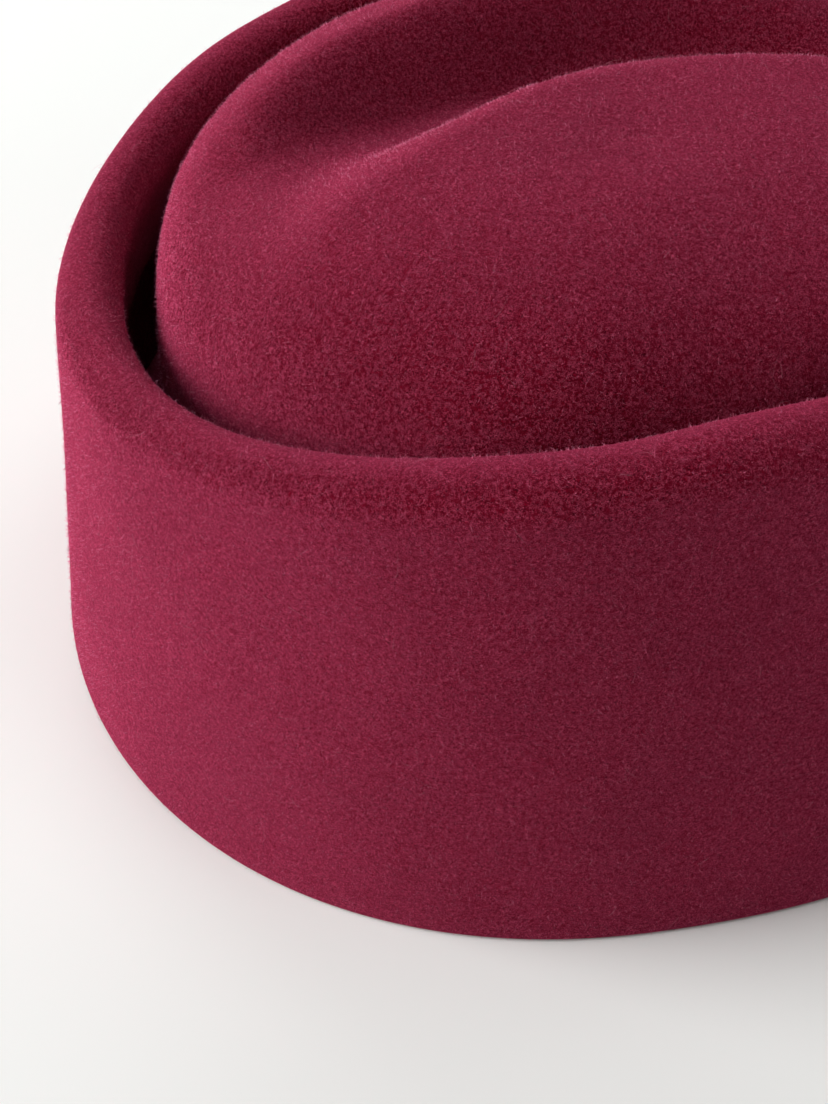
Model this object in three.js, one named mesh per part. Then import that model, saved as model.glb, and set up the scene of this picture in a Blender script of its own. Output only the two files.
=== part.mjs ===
// A felt pillbox hat: a soft creased crown standing inside a tall cuff whose top edge is rolled inwards.
// Millimetres, +Z up. The origin is on the surface that the hat stands on, under the middle of its oval.
// +X points to the wearer's forehead, -X to the fuller back of the head.
import * as THREE from "three";
import { LoftGeometry } from "three/addons/geometries/LoftGeometry.js";

// Felt
const FELT = 2.6; // thickness of every wall
const SEAM_GAP = 0.55; // hairline between the cuff's foot and the crown's foot

// Oval of the cuff's foot
const HALF_LENGTH = 102;
const HALF_WIDTH = 93;
const BACK_FULLNESS = 0.12; // share by which the back half is wider than a plain ellipse
const SKEW = 0.115; // share by which the oval bulges towards one side of the front
const SKEW_ANGLE = Math.PI * 50 / 180;
const SKEW_POWER = 6; // more keeps the bulge to a shorter stretch
const SHIFT = { x: -2.04, y: -2.2 }; // brings the middle of the skewed oval onto the origin

// Cuff
const CUFF_HEIGHT = 87.6; // mean height of the rolled rim
const RIM_FRONT_RISE = 0.065; // share by which the rim is higher at the front and lower at the back
const RIM_SIDE_RISE = 0.074; // share by which the rim is higher at the sides and lower at both ends
const CUFF_LEAN = 9; // how far the wall leans inwards at the rim
const CUFF_LEAN_FRONT = 3.6; // added to the lean at the front and taken from it at the back
const FOOT_ROUND = 1; // radius of the cuff's outer bottom edge
const ROLL_RADIUS = 7.8; // outer radius of the rolled rim at the front
const ROLL_TIGHTENING = 2.3; // how much smaller that radius is at the back
const ROLL_TIGHTENING_POWER = 1.5; // more keeps the tightening to the back
const RETURN_LENGTH = 14; // how far the rolled edge hangs down inside the groove

// Crown
const GROOVE = 2.2; // gap between the roll and the crown's side at the front, wider behind
const SEWN_HEIGHT = 6; // the crown follows the cuff up to here, then draws inwards
const SHOULDER_HEIGHT = 57; // the side ends and the dome begins
const CROWN_HEIGHT = 107; // top of the dome before the crease
const DOME_POWER = 3.05; // 2 is a plain ellipse, more is boxier

// Crescent crease pressed into the left half of the dome (+Y): its bottom line seen from above, how
// deep it is there, and how wide its two flanks are, the near one on the dome's side.
const CREASE = [
  { x: -80, y: -16, depth: 0, near: 34, far: 14 },
  { x: -64, y: -4, depth: 4, near: 34, far: 15 },
  { x: -49, y: 8, depth: 11, near: 33, far: 17 },
  { x: -34, y: 18, depth: 16, near: 31, far: 17 },
  { x: -18, y: 27, depth: 18, near: 29, far: 17 },
  { x: 0, y: 33, depth: 18, near: 28, far: 17 },
  { x: 22, y: 36, depth: 18, near: 28, far: 18 },
  { x: 46, y: 36, depth: 15, near: 28, far: 18 },
  { x: 66, y: 32.5, depth: 5, near: 28, far: 18 },
  { x: 84, y: 30, depth: 0, near: 28, far: 18 },
];

// Faceting
const CUFF_SECTIONS = 56; // around the oval
const CROWN_SECTIONS = 76;
const WALL_STEPS = 5;
const ROLL_STEPS = 7;
const SIDE_STEPS = 5;
const DOME_STEPS = 17;
const DOME_ROW_POWER = 1.25; // crowds the dome's rows towards its shoulder

const FELT_COLOUR = 0x7a2438;
const FELT_ROUGHNESS = 0.95;

const { abs, cos, hypot, max, min, pow, sin } = Math;
const HALF_TURN = Math.PI;
const steps = (count) => Array.from({ length: count + 1 }, (_, i) => i / count);
const smooth = THREE.MathUtils.smoothstep;

// The outline of the cuff's foot at an angle: an ellipse with a fuller back and a slight skew.
function footPoint(angle) {
  const back = -cos(angle);
  const fullness = 1 + BACK_FULLNESS * (back > 0 ? back : back * (1 + back) ** 2);
  const skewed = 1 + SKEW * ((1 + cos(angle - SKEW_ANGLE)) / 2) ** SKEW_POWER;
  const foot = new THREE.Vector2(HALF_LENGTH * cos(angle), HALF_WIDTH * fullness * sin(angle));
  return foot.multiplyScalar(skewed);
}

// A point that lies inset from the foot's outline, at a height.
function ovalPoint(angle, inset, height) {
  const foot = footPoint(angle);
  const flat = foot.setLength(foot.length() - inset);
  return new THREE.Vector3(flat.x, flat.y, height);
}

function rimHeight(angle) {
  const ends = cos(angle) ** 2 - sin(angle) ** 2;
  return CUFF_HEIGHT * (1 + RIM_FRONT_RISE * cos(angle) - RIM_SIDE_RISE * ends);
}

// How far the cuff's wall has leaned inwards at a height.
function lean(angle, height) {
  return (CUFF_LEAN + CUFF_LEAN_FRONT * cos(angle)) * height / rimHeight(angle);
}

function rollRadius(angle) {
  const back = (1 - cos(angle)) / 2;
  return ROLL_RADIUS - ROLL_TIGHTENING * back ** ROLL_TIGHTENING_POWER;
}

// Outline of the cuff's felt at one angle, as [inset before the lean, height] pairs: up the outer
// face, over the roll, down the return, and back along the inner face to the foot.
function cuffOutline(angle) {
  const outerRadius = rollRadius(angle);
  const innerRadius = outerRadius - FELT;
  const rollHeight = rimHeight(angle) - outerRadius;
  const returnHeight = rollHeight - RETURN_LENGTH;
  const arc = (radius, turn) => [
    outerRadius - radius * cos(turn),
    rollHeight + radius * sin(turn),
  ];
  const wall = steps(WALL_STEPS).map((t) => FOOT_ROUND + (rollHeight - FOOT_ROUND) * t);
  const roll = steps(ROLL_STEPS).map((t) => HALF_TURN * t);
  return [
    [FOOT_ROUND, 0],
    ...wall.map((height) => [0, height]),
    ...roll.slice(1).map((turn) => arc(outerRadius, turn)),
    [2 * outerRadius, returnHeight],
    [2 * outerRadius - FELT, returnHeight],
    ...roll.toReversed().map((turn) => arc(innerRadius, turn)),
    ...wall.toReversed().slice(1, -1).map((height) => [FELT, height]),
    [FELT, 0],
  ];
}

function cuffGeometry() {
  const sections = steps(CUFF_SECTIONS).toReversed().map((t) => {
    const angle = 2 * HALF_TURN * t;
    return cuffOutline(angle).map(([inset, height]) => (
      ovalPoint(angle, inset + lean(angle, height), height)
    ));
  });
  return new LoftGeometry(sections);
}

const creaseSpline = new THREE.CubicInterpolant(
  CREASE.map(({ x }) => x),
  CREASE.flatMap(({ y, depth, near, far }) => [y, depth, near, far]),
  4,
);

function creaseAt(x) {
  const [y, depth, near, far] = creaseSpline.evaluate(x);
  return { y, depth: max(depth, 0), near, far };
}

// Depth of the crescent crease at a point of the dome seen from above.
function creaseDepth(x, y) {
  const nudge = 0.5;
  const crease = creaseAt(x);
  const slope = (creaseAt(x + nudge).y - creaseAt(x - nudge).y) / (2 * nudge);
  const distance = (y - crease.y) / hypot(1, slope);
  const width = distance < 0 ? crease.near : crease.far;
  return crease.depth * cos(HALF_TURN / 2 * min(abs(distance) / width, 1)) ** 2;
}

// The crown's side: it follows the cuff where the two are sewn, then draws in to clear the roll.
function crownSidePoint(angle, height) {
  const spread = 2 * ROLL_RADIUS + GROOVE - FELT - SEAM_GAP;
  const drawn = spread * smooth(height, SEWN_HEIGHT, SHOULDER_HEIGHT);
  return ovalPoint(angle, FELT + SEAM_GAP + lean(angle, height) + drawn, height);
}

// The dome: the shoulder's ring shrinks to a share of its size while the height follows a
// superellipse, less the crease.
function crownDomePoint(angle, share) {
  const point = crownSidePoint(angle, SHOULDER_HEIGHT).multiplyScalar(share);
  const rise = pow(1 - share ** DOME_POWER, 1 / DOME_POWER);
  point.z = SHOULDER_HEIGHT + (CROWN_HEIGHT - SHOULDER_HEIGHT) * rise;
  point.z -= creaseDepth(point.x, point.y);
  return point;
}

// The crown's outer face from its foot (row 0) to its top (row SIDE_STEPS + DOME_STEPS).
function crownPoint(angle, row) {
  if (row <= SIDE_STEPS) return crownSidePoint(angle, SHOULDER_HEIGHT * row / SIDE_STEPS);
  const climbed = (row - SIDE_STEPS) / DOME_STEPS;
  return crownDomePoint(angle, 1 - climbed ** DOME_ROW_POWER);
}

const crownRows = SIDE_STEPS + DOME_STEPS;
const crownAngles = steps(CROWN_SECTIONS).slice(0, -1).map((t) => 2 * HALF_TURN * t);

// The inner face: the outer one moved in by the felt's thickness along its normal.
function crownInnerPoint(angle, row) {
  const nudge = 0.02;
  const point = crownPoint(angle, row);
  const around = crownPoint(angle + nudge, row).sub(crownPoint(angle - nudge, row));
  const up = crownPoint(angle, row + nudge).sub(crownPoint(angle, max(row - nudge, 0)));
  const inward = up.cross(around).normalize();
  const inner = point.addScaledVector(inward, FELT);
  if (row === 0) inner.z = 0;
  return inner;
}

function crownGeometry() {
  const rows = Array.from({ length: crownRows }, (_, row) => row);
  const outer = rows.map((row) => crownAngles.map((angle) => crownPoint(angle, row)));
  const inner = rows.map((row) => crownAngles.map((angle) => crownInnerPoint(angle, row)));
  const top = crownPoint(0, crownRows);
  const underTop = top.clone().setZ(top.z - FELT);
  outer.push(crownAngles.map(() => top));
  inner.push(crownAngles.map(() => underTop));
  return new LoftGeometry([...inner.toReversed(), ...outer]);
}

function feltMesh(name, geometry) {
  const material = new THREE.MeshStandardMaterial({
    color: FELT_COLOUR,
    roughness: FELT_ROUGHNESS,
    metalness: 0,
  });
  const mesh = new THREE.Mesh(geometry, material);
  mesh.name = name;
  return mesh;
}

const hat = new THREE.Group();
hat.position.set(SHIFT.x, SHIFT.y, 0);
hat.add(feltMesh("cuff", cuffGeometry()));
hat.add(feltMesh("crown", crownGeometry()));

export default hat;
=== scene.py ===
import math

import bpy
import numpy as np
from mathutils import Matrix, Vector


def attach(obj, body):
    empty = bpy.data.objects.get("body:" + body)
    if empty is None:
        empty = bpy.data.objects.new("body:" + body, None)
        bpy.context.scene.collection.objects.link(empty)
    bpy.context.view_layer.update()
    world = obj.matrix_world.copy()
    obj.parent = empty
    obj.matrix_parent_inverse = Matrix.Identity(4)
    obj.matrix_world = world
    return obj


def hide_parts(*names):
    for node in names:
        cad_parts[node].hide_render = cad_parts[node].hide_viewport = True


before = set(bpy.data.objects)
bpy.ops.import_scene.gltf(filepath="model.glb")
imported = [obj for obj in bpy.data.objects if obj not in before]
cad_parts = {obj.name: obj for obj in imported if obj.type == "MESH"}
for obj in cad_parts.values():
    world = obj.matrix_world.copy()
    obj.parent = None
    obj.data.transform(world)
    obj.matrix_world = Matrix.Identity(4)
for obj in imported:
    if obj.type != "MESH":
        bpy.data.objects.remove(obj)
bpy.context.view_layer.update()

MM = 0.001
TURN = 2 * math.pi

# ---------------------------------------------------------------- the hat's shape, as in the CAD part
# Lengths are in millimetres.
FELT = 2.6  # thickness of every wall
SEAM_GAP = 0.55  # hairline between the cuff's foot and the crown's foot

# Oval of the cuff's foot
HALF_LENGTH = 102.0
HALF_WIDTH = 93.0
BACK_FULLNESS = 0.12  # share by which the back half is wider than a plain ellipse
SKEW = 0.115  # share by which the oval bulges towards one side of the front
SKEW_ANGLE = math.radians(50.0)
SKEW_POWER = 6  # more keeps the bulge to a shorter stretch
SHIFT = (-2.04, -2.2, 0.0)  # brings the middle of the skewed oval onto the origin

# Cuff
CUFF_HEIGHT = 87.6  # mean height of the rolled rim
RIM_FRONT_RISE = 0.065  # share by which the rim is higher at the front and lower at the back
RIM_SIDE_RISE = 0.074  # share by which the rim is higher at the sides and lower at both ends
CUFF_LEAN = 9.0  # how far the wall leans inwards at the rim
CUFF_LEAN_FRONT = 3.6  # added to the lean at the front and taken from it at the back
FOOT_ROUND = 1.0  # radius of the cuff's outer bottom edge
ROLL_RADIUS = 7.8  # outer radius of the rolled rim at the front
ROLL_TIGHTENING = 2.3  # how much smaller that radius is at the back
ROLL_TIGHTENING_POWER = 1.5  # more keeps the tightening to the back
RETURN_LENGTH = 14.0  # how far the rolled edge hangs down inside the groove

# Crown
GROOVE = 2.2  # gap between the roll and the crown's side at the front, wider behind
SEWN_HEIGHT = 6.0  # the crown follows the cuff up to here, then draws inwards
SHOULDER_HEIGHT = 57.0  # the side ends and the dome begins
CROWN_HEIGHT = 107.0  # top of the dome before the crease
DOME_POWER = 3.05  # 2 is a plain ellipse, more is boxier
CREASE_LINE = (  # x, y, depth, near width, far width
    (-80.0, -16.0, 0.0, 34.0, 14.0),
    (-64.0, -4.0, 4.0, 34.0, 15.0),
    (-49.0, 8.0, 11.0, 33.0, 17.0),
    (-34.0, 18.0, 16.0, 31.0, 17.0),
    (-18.0, 27.0, 18.0, 29.0, 17.0),
    (0.0, 33.0, 18.0, 28.0, 17.0),
    (22.0, 36.0, 18.0, 28.0, 18.0),
    (46.0, 36.0, 15.0, 28.0, 18.0),
    (66.0, 32.5, 5.0, 28.0, 18.0),
    (84.0, 30.0, 0.0, 28.0, 18.0),
)

# ---------------------------------------------------------------- what the fine model adds
# A finger mark on the dome
MARK_PLACE = (2.0, -15.0)
MARK_RADII = (17.0, 9.0)  # along and across
MARK_TURN = math.radians(25.0)
MARK_DEPTH = 0.9

# The gentle swells of hand-blocked felt
SWELL = 0.32  # height
SWELL_WAVES = 14
SWELL_LENGTHS = (28.0, 75.0)
CUFF_SETTLE = 12.0  # the swells fade in over this height above the foot
CROWN_SETTLE = 40.0

# Nap: lengths and radii of its fibres, and how steeply they rise from the felt, in radians
NAP = {"length": (0.4, 1.0), "radius": (0.03, 0.055), "lift": (0.7, 1.4)}
CURLS = {"length": (0.6, 1.6), "radius": (0.032, 0.05), "steps": 2}
HAIRS = {"length": (2.0, 4.5), "radius": (0.014, 0.024), "steps": 6}
CURL_LIFT = (0.3, 0.9)
CURL_BEND = 1.6  # spread of the sideways bend
CURL_DROOP = (0.6, 1.5)
CURL_TAPER = 0.7
NAP_ROOT = 0.14  # how deep a fibre starts inside the felt
NAP_CLEAR = 0.05  # lowest point of any fibre above the floor
HIDDEN_NAP = 0.06  # share of nap on the crown's hidden side
SHOWN_FROM = 45.0  # the crown's nap thickens from this height
SHOWN_OVER = 25.0

# Rows and columns of the meshes
SECTIONS = 320  # around the oval
FOOT_STEPS = 3
WALL_STEPS = 35
ROLL_STEPS = 27
RETURN_STEPS = 4
EDGE_STEPS = 5
INNER_ROLL_STEPS = 11
INNER_WALL_STEPS = 11
SIDE_STEPS = 23
DOME_STEPS = 99
DOME_ROW_POWER = 1.35  # crowds the dome's rows towards its shoulder
INNER_SKIP = 3  # the crown's inner face has one row for this many outer ones

# ---------------------------------------------------------------- looks
SPECULAR = 0.02
FINISHES = {  # colour, roughness, sheen, sheen roughness, sheen tint
    "felt": ((0.13, 0.004, 0.015), 0.95, 1.0, 0.23, (0.98, 0.115, 0.28)),
    "nap": ((0.8, 0.16, 0.3), 0.9, 1.0, 0.3, (1.0, 0.5, 0.7)),
    "curl": ((0.7, 0.15, 0.26), 0.85, 0.5, 0.3, (0.9, 0.3, 0.5)),
    "curl_deep": ((0.08, 0.0015, 0.007), 0.9, 0.3, 0.3, (0.75, 0.15, 0.3)),
    "hair": ((0.7, 0.25, 0.36), 0.8, 0.3, 0.5, (1.0, 0.8, 0.85)),
    "floor": ((0.87, 0.885, 0.865), 0.9, 0.0, 0.5, (1.0, 1.0, 1.0)),
}
WOOL_DARK = (0.022, 0.0003, 0.002)
WOOL_LIGHT = (0.29, 0.0032, 0.022)
WOOL_MIDDLE = (0.17, 0.0027, 0.015)
WOOL_FIBRE = (0.78, 0.11, 0.21)
MATTED_SCALE = 3300.0  # noise scales are in features for each metre
CLUMP_SCALE = 700.0
CLOUD_SCALE = 45.0
STRAND_LAYERS = ((2100.0, 1.0), (2600.0, 2.0), (1700.0, 3.0))  # scale and seed
STRAND_WIDTH = 0.032  # of the drawn curls, as a share of their noise's range
STRAND_KEPT = (0.51, 0.56)  # where a second noise leaves a strand out or shows it
RELIEF = 0.6  # height of the matted fibres
CURL_RELIEF = 0.5  # shares of that height
CLUMP_RELIEF = 0.4

# ---------------------------------------------------------------- floor, light, camera, in metres
FLOOR_HALF = 4.0
WORLD_COLOUR = (1.0, 0.995, 0.98)
WORLD_STRENGTH = 0.08
LIGHT_SIZE = 1.4
LIGHT_TARGET = Vector((0, 0, 0.05))
LIGHTS = (  # name, place, watts
    ("key", (-1.6, 0, 0.65), 45),
    ("glow", (-0.6, 1.6, 0.4), 20),
    ("rim", (1.2, 1.2, 1.2), 6.5),
    ("top", (0, 0, 2), 8),
    ("fill", (-1.3, -1.0, 0.35), 2.5),
    ("front", (1.3, -1.0, 0.6), 7),
)
CAMERA_PLACE = (-0.04749, -0.31411, 0.29006)
CAMERA_TILT = math.radians(47.4)
CAMERA_TURN = math.radians(-2.01)
CAMERA_LENS = 69.88
SENSOR_HEIGHT = 36

THIRDS = (0, TURN / 3, 2 * TURN / 3)  # corners of a three-sided fibre
rng = np.random.default_rng(7)

# ---------------------------------------------------------------- shape functions


def smoothstep(t):
    t = np.clip(t, 0, 1)
    return t * t * (3 - 2 * t)


def foot(angle):
    """The outline of the cuff's foot: an ellipse with a fuller back and a slight skew."""
    back = -np.cos(angle)
    fullness = 1 + BACK_FULLNESS * np.where(back > 0, back, back * (1 + back) ** 2)
    skewed = 1 + SKEW * ((1 + np.cos(angle - SKEW_ANGLE)) / 2) ** SKEW_POWER
    return HALF_LENGTH * skewed * np.cos(angle), HALF_WIDTH * skewed * fullness * np.sin(angle)


def oval(angle, inset, height):
    """Points that lie inset from the foot's outline, at a height."""
    x, y = foot(angle)
    length = np.hypot(x, y)
    share = (length - inset) / length
    return np.stack(np.broadcast_arrays(x * share, y * share, height), -1)


def rim_height(angle):
    return CUFF_HEIGHT * (1 + RIM_FRONT_RISE * np.cos(angle) - RIM_SIDE_RISE * np.cos(2 * angle))


def roll_radius(angle):
    back = (1 - np.cos(angle)) / 2
    return ROLL_RADIUS - ROLL_TIGHTENING * back**ROLL_TIGHTENING_POWER


def lean(angle, height):
    """How far the cuff's wall has leaned inwards at a height."""
    return (CUFF_LEAN + CUFF_LEAN_FRONT * np.cos(angle)) * height / rim_height(angle)


def crown_side(angle, height):
    """The crown's side: it follows the cuff where the two are sewn, then draws in to clear the roll."""
    spread = 2 * ROLL_RADIUS + GROOVE - FELT - SEAM_GAP
    drawn = spread * smoothstep((height - SEWN_HEIGHT) / (SHOULDER_HEIGHT - SEWN_HEIGHT))
    return oval(angle, FELT + SEAM_GAP + lean(angle, height) + drawn, height)


def along(table, column, x):
    """One column of a table as a smooth function of its first column, and its slope."""
    table = np.array(table)
    knots, values = table[:, 0], table[:, column]
    slopes = np.zeros(len(knots))
    slopes[1:-1] = (values[2:] - values[:-2]) / (knots[2:] - knots[:-2])
    x = np.clip(x, knots[0], knots[-1])
    i = np.clip(np.searchsorted(knots, x) - 1, 0, len(knots) - 2)
    span = knots[i + 1] - knots[i]
    t = (x - knots[i]) / span
    rise = smoothstep(t)
    value = values[i] * (1 - rise) + values[i + 1] * rise
    value += span * (slopes[i] * t * (1 - t) ** 2 - slopes[i + 1] * t * t * (1 - t))
    slope = 6 * t * (1 - t) * (values[i + 1] - values[i]) / span
    slope += slopes[i] * (1 - t) * (1 - 3 * t) + slopes[i + 1] * t * (3 * t - 2)
    return value, slope


def crease(x, y):
    """Depth of the crescent crease at a point of the dome seen from above."""
    middle, slope = along(CREASE_LINE, 1, x)
    depth, near, far = (along(CREASE_LINE, column, x)[0] for column in (2, 3, 4))
    distance = (y - middle) / np.sqrt(1 + slope**2)
    width = np.where(distance < 0, near, far)
    return np.maximum(depth, 0) * np.cos(math.pi / 2 * np.minimum(np.abs(distance) / width, 1)) ** 2


def finger_mark(x, y):
    """Depth of the finger mark at a point of the dome seen from above."""
    x, y = x - MARK_PLACE[0], y - MARK_PLACE[1]
    c, s = math.cos(MARK_TURN), math.sin(MARK_TURN)
    along_mark = (x * c + y * s) / MARK_RADII[0]
    across_mark = (y * c - x * s) / MARK_RADII[1]
    return MARK_DEPTH * np.exp(-(along_mark**2) - across_mark**2)


def crown_dome(angle, share):
    """The dome: the shoulder's ring shrinks to a share of its size while the height rises."""
    point = crown_side(angle, SHOULDER_HEIGHT + 0 * angle) * share
    rise = max(1 - share**DOME_POWER, 0) ** (1 / DOME_POWER)
    height = SHOULDER_HEIGHT + (CROWN_HEIGHT - SHOULDER_HEIGHT) * rise
    x, y = point[..., 0], point[..., 1]
    point[..., 2] = height - crease(x, y) - finger_mark(x, y)
    return point


# ---------------------------------------------------------------- grids of points


def cuff_grid():
    """Rows of points up the cuff's outer face, over the roll, down the return and back inside."""
    angles = np.arange(SECTIONS) / SECTIONS * TURN
    radius = roll_radius(angles)
    inner_radius = radius - FELT
    roll_height = rim_height(angles) - radius
    return_height = roll_height - RETURN_LENGTH
    outline = []
    for t in np.linspace(0, math.pi / 2, FOOT_STEPS + 1):
        inset = FOOT_ROUND * (1 - math.sin(t))
        outline.append((inset, FOOT_ROUND * (1 - math.cos(t)) + 0 * angles))
    for t in np.linspace(0, 1, WALL_STEPS + 1)[1:]:
        outline.append((0, FOOT_ROUND + (roll_height - FOOT_ROUND) * t))
    for t in np.linspace(0, math.pi, ROLL_STEPS + 1)[1:]:
        outline.append((radius * (1 - math.cos(t)), roll_height + radius * math.sin(t)))
    outer_rows = len(outline)
    for t in np.linspace(0, 1, RETURN_STEPS + 1)[1:]:
        outline.append((2 * radius, roll_height + (return_height - roll_height) * t))
    for t in np.linspace(0, math.pi, EDGE_STEPS + 1)[1:-1]:
        inset = 2 * radius - FELT / 2 * (1 - math.cos(t))
        outline.append((inset, return_height - FELT / 2 * math.sin(t)))
    for t in np.linspace(0, 1, RETURN_STEPS + 1)[:-1]:
        outline.append((2 * radius - FELT, return_height + (roll_height - return_height) * t))
    for t in np.linspace(math.pi, 0, INNER_ROLL_STEPS + 1):
        inset = radius - inner_radius * math.cos(t)
        outline.append((inset, roll_height + inner_radius * math.sin(t)))
    for t in np.linspace(1, 0, INNER_WALL_STEPS + 1)[1:]:
        outline.append((FELT, roll_height * t))
    grid = [oval(angles, inset + lean(angles, height), height) for inset, height in outline]
    return np.array(grid), outer_rows


def crown_grid():
    """Rows of points up the crown's outer face, from its foot to just short of its top."""
    angles = np.arange(SECTIONS) / SECTIONS * TURN
    side = np.linspace(0, 1, SIDE_STEPS + 1)[:-1]
    dome = np.linspace(0, 1, DOME_STEPS + 1)[:-1]
    rows = [crown_side(angles, SHOULDER_HEIGHT * t + 0 * angles) for t in side]
    rows += [crown_dome(angles, 1 - t**DOME_ROW_POWER) for t in dome]
    return np.array(rows)


def normals(grid, wrap=False):
    """Outward unit normals of a grid whose rows go round the hat."""
    if wrap:
        up = np.roll(grid, -1, axis=0) - np.roll(grid, 1, axis=0)
    else:
        up = np.gradient(grid, axis=0)
    around = np.roll(grid, -1, axis=1) - np.roll(grid, 1, axis=1)
    normal = np.cross(around, up)
    return normal / np.maximum(np.linalg.norm(normal, axis=2, keepdims=True), 1e-9)


def swell(points):
    """Gentle random swells of hand-blocked felt: a sum of long waves in random directions."""
    total = np.zeros(points.shape[:-1])
    for _ in range(SWELL_WAVES):
        direction = rng.normal(size=3)
        direction *= TURN / rng.uniform(*SWELL_LENGTHS) / np.linalg.norm(direction)
        total += np.sin(points @ direction + rng.uniform(0, TURN))
    return total * SWELL / math.sqrt(SWELL_WAVES)


def swollen(grid, normal, settle):
    """The grid with its swells, which fade in over the settle height above the foot."""
    return grid + (normal * swell(grid)[..., None]) * smoothstep(grid[..., 2:] / settle)


# ---------------------------------------------------------------- meshes


def add_mesh(name, points, triangles):
    """A mesh from arrays: points in millimetres, and triangles as rows of point numbers."""
    mesh = bpy.data.meshes.new(name)
    mesh.vertices.add(len(points))
    mesh.vertices.foreach_set("co", ((points + SHIFT) * MM).ravel())
    mesh.loops.add(triangles.size)
    mesh.loops.foreach_set("vertex_index", triangles.ravel().astype(np.int32))
    mesh.polygons.add(len(triangles))
    mesh.polygons.foreach_set("loop_start", np.arange(len(triangles), dtype=np.int32) * 3)
    mesh.polygons.foreach_set("use_smooth", np.ones(len(triangles), dtype=bool))
    mesh.update(calc_edges=True)
    mesh.validate()
    piece = bpy.data.objects.new(name, mesh)
    bpy.context.scene.collection.objects.link(piece)
    return piece


def grid_triangles(rows, around, wrap=False):
    """Triangles of a grid whose rows go round; wrap joins the last row to the first."""
    i = np.arange(rows if wrap else rows - 1)[:, None]
    j = np.arange(around)[None, :]
    next_i, next_j = (i + 1) % rows, (j + 1) % around
    a, b = i * around + j, i * around + next_j
    c, d = next_i * around + next_j, next_i * around + j
    halves = (np.stack([a, b, c], -1), np.stack([a, c, d], -1))
    return np.concatenate([half.reshape(-1, 3) for half in halves])


def cuff_mesh(grid):
    triangles = grid_triangles(len(grid), SECTIONS, wrap=True)
    return add_mesh("felt_cuff", grid.reshape(-1, 3), triangles)


def crown_mesh(outer):
    """The crown's shell: inner face downwards, outer face upwards, each closed at its top."""
    inner = (outer - normals(outer) * FELT)[::INNER_SKIP]
    inner[0, :, 2] = 0
    rows = np.concatenate([inner[::-1], outer])
    top = len(rows) * SECTIONS  # numbers of the two points that close the faces
    under = top + 1
    tips = [outer[-1].mean(axis=0), inner[-1].mean(axis=0)]
    ring = np.arange(SECTIONS)
    following = (ring + 1) % SECTIONS
    last_row = top - SECTIONS
    outer_cap = np.stack([last_row + ring, last_row + following, np.full(SECTIONS, top)], -1)
    inner_cap = np.stack([following, ring, np.full(SECTIONS, under)], -1)
    triangles = np.concatenate([grid_triangles(len(rows), SECTIONS), outer_cap, inner_cap])
    return add_mesh("felt_crown", np.concatenate([rows.reshape(-1, 3), tips]), triangles)


# ---------------------------------------------------------------- nap


def scatter(grid, normal, count, weights=None):
    """Random places on a grid's surface, with their normal and a tangent."""
    next_column = np.roll(grid, -1, axis=1)
    a, b, d = grid[:-1], next_column[:-1], grid[1:]
    area = np.linalg.norm(np.cross(b - a, d - a), axis=2)
    if weights is not None:
        area = area * weights[:-1]
    chance = np.cumsum(area.ravel())
    cell = np.searchsorted(chance, rng.uniform(0, chance[-1], count))
    i, j = np.unravel_index(np.minimum(cell, area.size - 1), area.shape)
    u, v = rng.uniform(size=(2, count, 1))
    place = grid[i, j] + (next_column[i, j] - grid[i, j]) * u + (grid[i + 1, j] - grid[i, j]) * v
    tangent = next_column[i, j] - grid[i, j]
    tangent /= np.linalg.norm(tangent, axis=1, keepdims=True)
    return place, normal[i, j], tangent


def directions(normal, tangent, lift):
    """Random directions that rise from the surface by the lift angles."""
    turn = rng.uniform(0, TURN, len(normal))[:, None]
    flat = np.cos(turn) * tangent + np.sin(turn) * np.cross(normal, tangent)
    return np.cos(lift)[:, None] * flat + np.sin(lift)[:, None] * normal


def above_floor(points):
    """Fibres, a row of points each, moved up along the cuff's lean where they would reach the floor."""
    rise = np.maximum(NAP_CLEAR - points[..., 2].min(axis=1), 0)[:, None]
    reach = np.linalg.norm(points[:, :1, :2], axis=2)
    points[..., :2] *= (1 - rise * CUFF_LEAN / CUFF_HEIGHT / reach)[..., None]
    points[..., 2] += rise
    return points.reshape(-1, 3)


def straight_fibres(name, surface, count, length, radius, lift):
    """Short straight fibres: closed three-sided spikes whose roots lie inside the felt."""
    place, normal, tangent = surface(count)
    along_fibre = directions(normal, tangent, rng.uniform(*lift, count))
    across = np.cross(along_fibre, normal)
    across /= np.maximum(np.linalg.norm(across, axis=1, keepdims=True), 1e-9)
    other = np.cross(along_fibre, across)
    root = place - normal * NAP_ROOT
    thick = rng.uniform(*radius, (count, 1))
    corners = [root + thick * (across * math.cos(t) + other * math.sin(t)) for t in THIRDS]
    tip = root + along_fibre * rng.uniform(*length, (count, 1))
    points = above_floor(np.stack(corners + [tip], 1))
    spike = np.array([[0, 1, 3], [1, 2, 3], [2, 0, 3], [0, 2, 1]])
    triangles = (np.arange(count)[:, None, None] * 4 + spike).reshape(-1, 3)
    return add_mesh(name, points, triangles)


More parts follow.
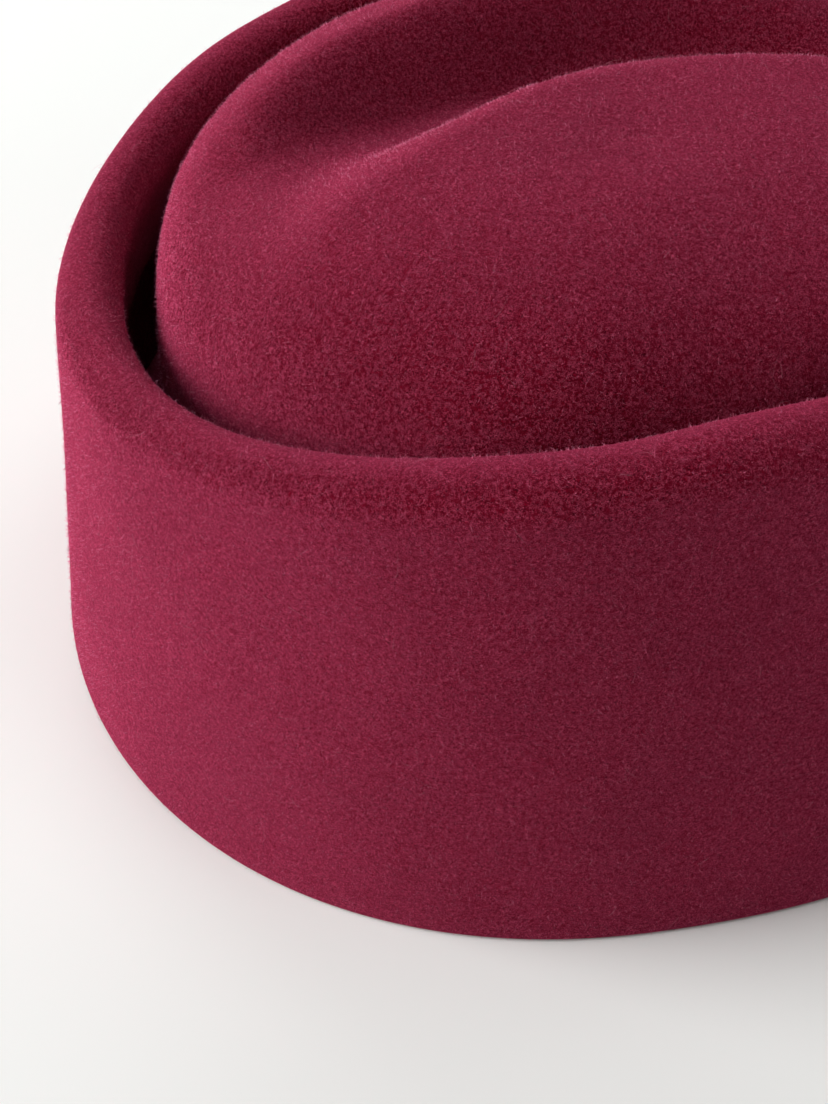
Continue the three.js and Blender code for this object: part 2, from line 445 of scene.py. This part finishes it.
def curled_fibres(name, surface, count, length, radius, steps):
    """Bent fibres that lie loosely on the felt: closed three-sided tubes that taper to a point."""
    place, normal, tangent = surface(count)
    heading = directions(normal, tangent, rng.uniform(*CURL_LIFT, count))
    side = np.cross(normal, heading)
    side /= np.linalg.norm(side, axis=1, keepdims=True)
    bend = rng.normal(0, CURL_BEND, (count, 1))
    droop = rng.uniform(*CURL_DROOP, (count, 1))
    total = rng.uniform(*length, (count, 1))
    thick = rng.uniform(*radius, (count, 1))
    rings = []
    for step in range(steps):
        t = step / steps
        centre = place - normal * NAP_ROOT + total * (heading * t + side * bend * t * t / 2)
        centre = centre + normal * total * (-droop * t * t / 2)
        taper = thick * (1 - CURL_TAPER * t)
        for turn in THIRDS:
            outward = side * math.cos(turn) + np.cross(heading, side) * math.sin(turn)
            rings.append(centre + taper * outward)
    end = place - normal * NAP_ROOT + total * (heading + side * bend / 2 - normal * droop / 2)
    points = above_floor(np.stack(rings + [end], 1))
    tube = [[0, 2, 1]]
    for step in range(steps - 1):
        for k in range(3):
            a, b = 3 * step + k, 3 * step + (k + 1) % 3
            tube += [[a, b, b + 3], [a, b + 3, a + 3]]
    last = 3 * (steps - 1)
    tube += [[last + k, last + (k + 1) % 3, 3 * steps] for k in range(3)]
    first_points = np.arange(count)[:, None, None] * (3 * steps + 1)
    return add_mesh(name, points, (first_points + np.array(tube)).reshape(-1, 3))


cuff_points, cuff_outer_rows = cuff_grid()
cuff_normals = normals(cuff_points, wrap=True)
cuff_points = swollen(cuff_points, cuff_normals, CUFF_SETTLE)
crown_points = crown_grid()
crown_normals = normals(crown_points)
crown_points = swollen(crown_points, crown_normals, CROWN_SETTLE)


def cuff_surface(count):
    """Random places on the cuff's outer face and roll."""
    outer = slice(2, cuff_outer_rows)
    return scatter(cuff_points[outer], cuff_normals[outer], count)


def crown_surface(count):
    """Random places on the crown, mostly where it shows."""
    shown = smoothstep((crown_points[..., 2] - SHOWN_FROM) / SHOWN_OVER)
    return scatter(crown_points, crown_normals, count, HIDDEN_NAP + shown)


FIBRE_PIECES = (  # name, CAD node, surface, function, its sizes, how many, material
    ("cuff_nap", "cuff", cuff_surface, straight_fibres, NAP, 42000, "nap"),
    ("crown_nap", "crown", crown_surface, straight_fibres, NAP, 30000, "nap"),
    ("cuff_curls_a", "cuff", cuff_surface, curled_fibres, CURLS, 18500, "curl"),
    ("cuff_curls_b", "cuff", cuff_surface, curled_fibres, CURLS, 11000, "curl_deep"),
    ("crown_curls_a", "crown", crown_surface, curled_fibres, CURLS, 12000, "curl"),
    ("crown_curls_b", "crown", crown_surface, curled_fibres, CURLS, 7000, "curl_deep"),
    ("cuff_hairs", "cuff", cuff_surface, curled_fibres, HAIRS, 500, "hair"),
    ("crown_hairs", "crown", crown_surface, curled_fibres, HAIRS, 250, "hair"),
)

# ---------------------------------------------------------------- materials


def principled(name):
    colour, roughness, sheen, sheen_roughness, sheen_tint = FINISHES[name]
    material = bpy.data.materials.new(name)
    material.use_nodes = True
    shader = material.node_tree.nodes["Principled BSDF"]
    shader.inputs["Base Color"].default_value = (*colour, 1)
    shader.inputs["Roughness"].default_value = roughness
    shader.inputs["Specular IOR Level"].default_value = SPECULAR
    shader.inputs["Sheen Weight"].default_value = sheen
    shader.inputs["Sheen Roughness"].default_value = sheen_roughness
    shader.inputs["Sheen Tint"].default_value = (*sheen_tint, 1)
    return material


def felt_material():
    """Wool felt: mottled colour, matted fibres as a fine curly relief, and a soft bloom."""
    material = principled("felt")
    nodes, links = material.node_tree.nodes, material.node_tree.links
    shader = nodes["Principled BSDF"]
    place = nodes.new("ShaderNodeTexCoord").outputs["Object"]

    def noise(scale, detail, distortion=0.0, roughness=0.5, seed=0.0):
        node = nodes.new("ShaderNodeTexNoise")
        node.noise_dimensions = "4D"
        node.inputs["W"].default_value = seed
        node.inputs["Scale"].default_value = scale
        node.inputs["Detail"].default_value = detail
        node.inputs["Roughness"].default_value = roughness
        node.inputs["Distortion"].default_value = distortion
        links.new(place, node.inputs["Vector"])
        return node.outputs["Fac"]

    def blend(factor, low, high):
        node = nodes.new("ShaderNodeMix")
        node.data_type = "RGBA"
        links.new(factor, node.inputs["Factor"])
        for socket, colour in (("A", low), ("B", high)):
            target = [i for i in node.inputs if i.name == socket and i.type == "RGBA"][0]
            if isinstance(colour, tuple):
                target.default_value = (*colour, 1)
            else:
                links.new(colour, target)
        return [o for o in node.outputs if o.type == "RGBA"][0]

    def ramp(value, low, high, start=0.0, end=1.0):
        node = nodes.new("ShaderNodeMapRange")
        for socket, number in zip(("From Min", "From Max", "To Min", "To Max"), (low, high, start, end)):
            node.inputs[socket].default_value = number
        links.new(value, node.inputs["Value"])
        return node.outputs["Result"]

    def calculate(operation, first, second, third=None):
        node = nodes.new("ShaderNodeMath")
        node.operation = operation
        for socket, value in zip(node.inputs, (first, second, third)):
            if isinstance(value, float):
                socket.default_value = value
            elif value is not None:
                links.new(value, socket)
        return node.outputs["Value"]

    def strands(scale, seed):
        """Short curled fibres: thin lines where a noise passes its middle value, broken at random."""
        wander = noise(scale, 1, distortion=1.2, seed=seed)
        off_line = calculate("ABSOLUTE", calculate("SUBTRACT", wander, 0.5), None)
        line = ramp(off_line, 0.0, STRAND_WIDTH, 1.0, 0.0)
        kept = ramp(noise(scale * 0.8, 0, seed=seed + 5), *STRAND_KEPT)
        return calculate("MULTIPLY", line, kept)

    matted = noise(MATTED_SCALE, 3, distortion=1.4, roughness=0.7)
    clumps = noise(CLUMP_SCALE, 3, distortion=0.8)
    cloud = noise(CLOUD_SCALE, 2)
    first, second, third = (strands(scale, seed) for scale, seed in STRAND_LAYERS)
    curled = calculate("MAXIMUM", calculate("MAXIMUM", first, second), third)
    ground = blend(ramp(matted, 0.4, 0.6), WOOL_DARK, WOOL_LIGHT)
    mottled = blend(ramp(clumps, 0.35, 0.65), ground, WOOL_MIDDLE)
    fibre = blend(curled, mottled, WOOL_FIBRE)
    hue = nodes.new("ShaderNodeHueSaturation")
    links.new(fibre, hue.inputs["Color"])
    links.new(ramp(cloud, 0.3, 0.7, 0.92, 1.08), hue.inputs["Value"])
    links.new(hue.outputs["Color"], shader.inputs["Base Color"])
    links.new(ramp(matted, 0.3, 0.7, 0.86, 1.0), shader.inputs["Roughness"])

    relief = calculate("MULTIPLY_ADD", clumps, CLUMP_RELIEF, matted)
    relief = calculate("MULTIPLY_ADD", curled, CURL_RELIEF, relief)
    bump = nodes.new("ShaderNodeBump")
    bump.inputs["Strength"].default_value = 1.0
    bump.inputs["Distance"].default_value = RELIEF * MM
    links.new(relief, bump.inputs["Height"])
    links.new(bump.outputs["Normal"], shader.inputs["Normal"])
    return material


materials = {name: principled(name) for name in ("nap", "curl", "curl_deep", "hair")}
materials["felt"] = felt_material()


def show(piece, node, material):
    piece.data.materials.append(materials[material])
    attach(piece, "root")
    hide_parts(node)


show(cuff_mesh(cuff_points), "cuff", "felt")
show(crown_mesh(crown_points), "crown", "felt")
for name, node, surface, make, sizes, count, material in FIBRE_PIECES:
    show(make(name, surface, count, **sizes), node, material)

# ---------------------------------------------------------------- staging


def add_floor():
    mesh = bpy.data.meshes.new("floor")
    corners = [(x * FLOOR_HALF, y * FLOOR_HALF, 0) for x, y in ((-1, -1), (1, -1), (1, 1), (-1, 1))]
    mesh.from_pydata(corners, [], [(0, 1, 2, 3)])
    mesh.materials.append(principled("floor"))
    floor = bpy.data.objects.new("floor", mesh)
    bpy.context.scene.collection.objects.link(floor)


def add_light(name, place, watts):
    lamp = bpy.data.lights.new(name, "AREA")
    lamp.shape = "DISK"
    lamp.size = LIGHT_SIZE
    lamp.energy = watts
    light = bpy.data.objects.new(name, lamp)
    light.location = place
    facing = LIGHT_TARGET - light.location
    light.rotation_euler = facing.to_track_quat("-Z", "Y").to_euler()
    bpy.context.scene.collection.objects.link(light)


def add_world():
    world = bpy.data.worlds.new("world")
    bpy.context.scene.world = world
    world.use_nodes = True
    background = world.node_tree.nodes["Background"]
    background.inputs["Color"].default_value = (*WORLD_COLOUR, 1)
    background.inputs["Strength"].default_value = WORLD_STRENGTH


def add_camera():
    data = bpy.data.cameras.new("camera")
    data.sensor_fit = "VERTICAL"
    data.sensor_height = SENSOR_HEIGHT
    data.lens = CAMERA_LENS
    data.clip_start = 0.01
    camera = bpy.data.objects.new("camera", data)
    camera.location = CAMERA_PLACE
    camera.rotation_euler = (CAMERA_TILT, 0, CAMERA_TURN)
    bpy.context.scene.collection.objects.link(camera)
    bpy.context.scene.camera = camera


add_floor()
add_world()
for lamp in LIGHTS:
    add_light(*lamp)
add_camera()
bpy.context.scene.view_settings.view_transform = "Standard"
